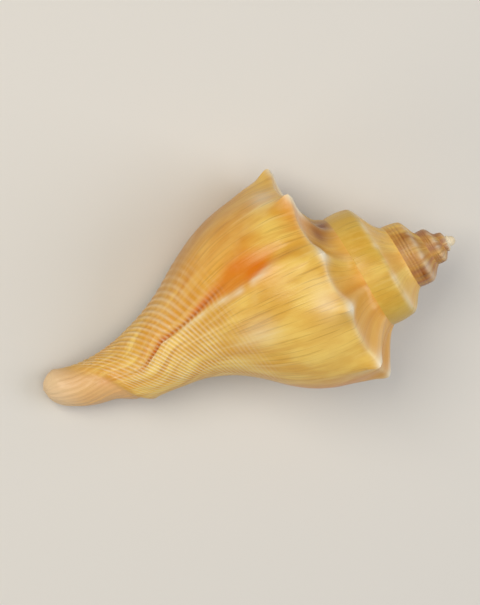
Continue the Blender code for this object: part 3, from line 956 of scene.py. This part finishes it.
# Among the layers, the cream also carries painted highlights, the brown painted shade in the
# grooves, the tan painted shade on the lip side, and the pale yellow partly painted light on the
# ramps.
LAYERS = (("#C88625", marks["dark streaks"], 0.50), ("#F4DA93", marks["light streaks"], 0.40),
          ("#CFAC45", olive, 1.0), ("#B07B50", spire_brown, 1.0), ("#F0CF74", pale, 1.0),
          ("#C18A3E", tan, 1.0), ("#E0B27C", beige, 1.0), ("#8B6414", dark_threads, 0.5),
          ("#DB7800", orange, 1.0), ("#8A4A10", brown, 1.0), ("#F3E6C6", crests["coarse"], 0.40),
          ("#F6EACB", crests["fine"], 0.50), ("#F1E3C4", cream, 1.0),
          ("#F2E2B4", marks["worn"], 0.2))
for hex_code, mask, share in LAYERS:
    cover = add_node(tree, "ShaderNodeMath", {0: mask}, {1: share, 2: 0.0},
                     operation="MULTIPLY_ADD", use_clamp=True)
    ground = add_node(tree, "ShaderNodeMix", {"Factor": cover.outputs[0], 6: ground},
                      {7: colour(hex_code)}, data_type="RGBA").outputs[2]
tree.links.new(ground, shader.inputs["Base Color"])
print("layers of colour:", len(LAYERS))

# %% Gloss and fine relief of the outside
rough = add_node(tree, "ShaderNodeMapRange", {"Value": noise["clouds"]},
                 {"To Min": 0.24, "To Max": 0.38})
tree.links.new(rough.outputs[0], shader.inputs["Roughness"])
shader.inputs["IOR"].default_value = 1.42

before = {}
for height, distance in ((crests["fine"], 0.00006), (noise["threads"], 0.00008),
                         (noise["grain"], 0.000012)):
    bump = add_node(tree, "ShaderNodeBump", {"Height": height, **before},
                    {"Strength": 1.0, "Distance": distance})
    before = {"Normal": bump.outputs[0]}
tree.links.new(bump.outputs[0], shader.inputs["Normal"])
print("nodes of the outside:", len(tree.nodes))

# %% The lining: glazed, cream to peach
inside_glaze.use_nodes = True
tree = inside_glaze.node_tree
shader = tree.nodes["Principled BSDF"]
solid_place = add_node(tree, "ShaderNodeTexCoord").outputs["Object"]
mapping = add_node(tree, "ShaderNodeMapping", {"Vector": solid_place},
                   {"Scale": (60.0, 60.0, 60.0)})
clouds = add_node(tree, "ShaderNodeTexNoise", {"Vector": mapping.outputs[0]},
                  {"Scale": 1.0, "Detail": 3.0, "Roughness": 0.5})
peach = add_node(tree, "ShaderNodeMapRange", {"Value": clouds.outputs["Fac"]},
                 {"From Min": 0.4, "From Max": 0.7}, interpolation_type="SMOOTHSTEP")
lining = add_node(tree, "ShaderNodeMix", {"Factor": peach.outputs[0]},
                  {6: colour("#F0DDBA"), 7: colour("#E3B27C")}, data_type="RGBA")
tree.links.new(lining.outputs[2], shader.inputs["Base Color"])
shader.inputs["Roughness"].default_value = 0.2
shader.inputs["IOR"].default_value = 1.53
print("nodes of the lining:", len(tree.nodes))

# %% [markdown]
# The shell lies on a plain pale floor in soft light. The camera looks along the normal of the
# shell's back, turned as in the photograph, with a long lens from 1.2 m.

# %% Floor, lights and camera
bpy.ops.mesh.primitive_plane_add(size=6.0, location=(0.0, 0.0, 0.0))
floor = bpy.context.object
floor.name = "floor"
paper = bpy.data.materials.new("matt paper backdrop")
paper.use_nodes = True
paper.node_tree.nodes["Principled BSDF"].inputs["Base Color"].default_value = colour("#D9D6CF")
paper.node_tree.nodes["Principled BSDF"].inputs["Roughness"].default_value = 0.9
floor.data.materials.append(paper)

PIXEL = 0.2511
IMAGE_WIDTH, IMAGE_HEIGHT = 480, 605
APEX_PIXEL = (455.0, 239.0)
CAMERA_DISTANCE = 1.2
AXIS_TURN = math.atan2(0.3843, 0.9232)

own = to_table.to_3x3().normalized()
along, across, back = (Vector(column) for column in own.transposed())
right = along * math.cos(AXIS_TURN) - across * math.sin(AXIS_TURN)
up = along * math.sin(AXIS_TURN) + across * math.cos(AXIS_TURN)
shift_right = (IMAGE_WIDTH / 2.0 - APEX_PIXEL[0]) * PIXEL * MM
shift_up = (APEX_PIXEL[1] - IMAGE_HEIGHT / 2.0) * PIXEL * MM
aim = apex_spot + right * shift_right + up * shift_up
bpy.ops.object.camera_add(location=aim + back * CAMERA_DISTANCE)
camera = bpy.context.object
camera.rotation_euler = Matrix((right, up, back)).transposed().to_euler()
camera.data.sensor_width = 36.0
camera.data.lens = 36.0 * CAMERA_DISTANCE / (IMAGE_HEIGHT * PIXEL * MM)
camera.data.clip_start, camera.data.clip_end = 0.05, 10.0
bpy.context.scene.camera = camera
print("lens in mm:", round(camera.data.lens, 1))


def soft_light(name, place_at, size, power, tint):
    """An area light that looks at the shell."""
    bpy.ops.object.light_add(type="AREA", location=place_at)
    light = bpy.context.object
    light.name = name
    light.rotation_euler = Vector(place_at).to_track_quat("Z", "Y").to_euler()
    light.data.size = size
    light.data.energy = power
    light.data.color = colour(tint)[:3]
    return light


soft_light("key light", (-0.35, 0.45, 0.75), 0.5, 4.7, "#FFF6E8")
soft_light("fill light", (0.7, -0.3, 0.6), 0.7, 3.8, "#F4F6FF")
soft_light("top light", (0.0, 0.0, 1.1), 0.8, 2.6, "#FFFFFF")
soft_light("side light", (-0.9, -0.1, 0.35), 0.5, 1.2, "#FFF8EE")
world = bpy.data.worlds.new("studio")
world.use_nodes = True
world.node_tree.nodes["Background"].inputs["Color"].default_value = colour("#E8EAEC")
world.node_tree.nodes["Background"].inputs["Strength"].default_value = 0.25
bpy.context.scene.world = world
bpy.context.scene.view_settings.view_transform = "Standard"

# %% [markdown]
# One piece rides on the frame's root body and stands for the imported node.

# %% Handing over
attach(shell, "root")
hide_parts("shell")
